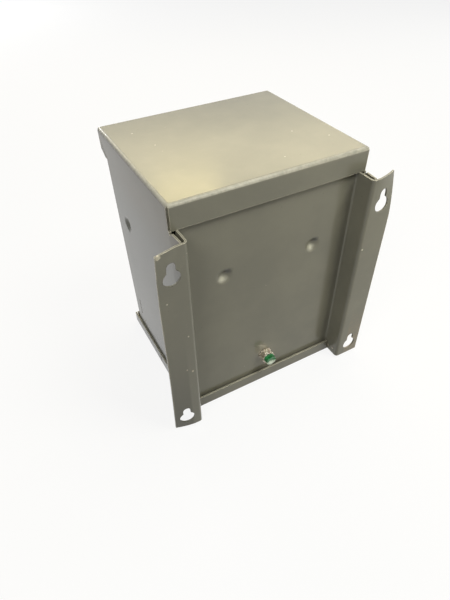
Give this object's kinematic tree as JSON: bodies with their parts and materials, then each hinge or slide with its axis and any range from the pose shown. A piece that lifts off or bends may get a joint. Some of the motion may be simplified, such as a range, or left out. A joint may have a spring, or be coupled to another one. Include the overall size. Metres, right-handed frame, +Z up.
{
  "type": "buck boost transformer",
  "caption": "Encapsulated dry-type transformer in a folded grey steel case, with keyhole mounting flanges and a green ground screw at the back.",
  "frame": {"origin": "centre of the bounding box's base, on the plane of the bottom pan's underside", "axes": "+Z up, +Y towards the wall the flanges screw to, so the front plates face -Y; +X is the left side as seen from behind"},
  "size_m": [0.2082, 0.1666, 0.2272],
  "materials": {
    "grey_paint": "semi-gloss enamel",
    "zinc_plate": "zinc plated",
    "yellow_zinc": "yellow passivated zinc",
    "ground_green": "green dyed plating",
    "core_steel": "varnished laminations",
    "enamelled_copper": "enamelled wire",
    "insulation_paper": "matt aramid paper",
    "moulded_nylon": "moulded",
    "potting_compound": "cast sand and resin",
    "lead_black": "extruded sleeve",
    "lead_red": "extruded sleeve"
  },
  "bodies": {
    "root": {"bottom_pan": "grey_paint", "coil_bobbin": "moulded_nylon", "coil_wrap": "insulation_paper", "core_bolt_lower_left": "zinc_plate", "core_bolt_lower_right": "zinc_plate", "core_bolt_upper_left": "zinc_plate", "core_bolt_upper_right": "zinc_plate", "core_bracket_front_left": "zinc_plate", "core_bracket_front_right": "zinc_plate", "core_bracket_rear_left": "zinc_plate", "core_bracket_rear_right": "zinc_plate", "core_clamp_front": "zinc_plate", "core_clamp_rear": "zinc_plate", "core_e_stack": "core_steel", "core_foot_screw_front_left": "zinc_plate", "core_foot_screw_front_right": "zinc_plate", "core_foot_screw_rear_left": "zinc_plate", "core_foot_screw_rear_right": "zinc_plate", "core_i_stack": "core_steel", "core_nut_lower_left": "zinc_plate", "core_nut_lower_right": "zinc_plate", "core_nut_upper_left": "zinc_plate", "core_nut_upper_right": "zinc_plate", "cover_screw_left": "zinc_plate", "cover_screw_right": "zinc_plate", "divider_plate": "grey_paint", "front_panel": "grey_paint", "ground_head_washer": "yellow_zinc", "ground_inner_nut": "zinc_plate", "ground_lock_washer": "yellow_zinc", "ground_screw": "ground_green", "ground_spacer_nut": "yellow_zinc", "lead_bushing_left": "moulded_nylon", "lead_bushing_right": "moulded_nylon", "panel_screw_left_1": "zinc_plate", "panel_screw_left_2": "zinc_plate", "panel_screw_right_1": "zinc_plate", "panel_screw_right_2": "zinc_plate", "potting_compound": "potting_compound", "primary_lead_1": "lead_black", "primary_lead_2": "lead_black", "primary_lead_3": "lead_black", "primary_lead_4": "lead_black", "primary_winding": "enamelled_copper", "rear_panel": "grey_paint", "secondary_lead_1": "lead_red", "secondary_lead_2": "lead_red", "secondary_lead_3": "lead_red", "secondary_lead_4": "lead_red", "secondary_winding": "enamelled_copper", "top_cover": "grey_paint", "winding_insulation": "insulation_paper", "wiring_cover": "grey_paint"}
  },
  "joints": []
}
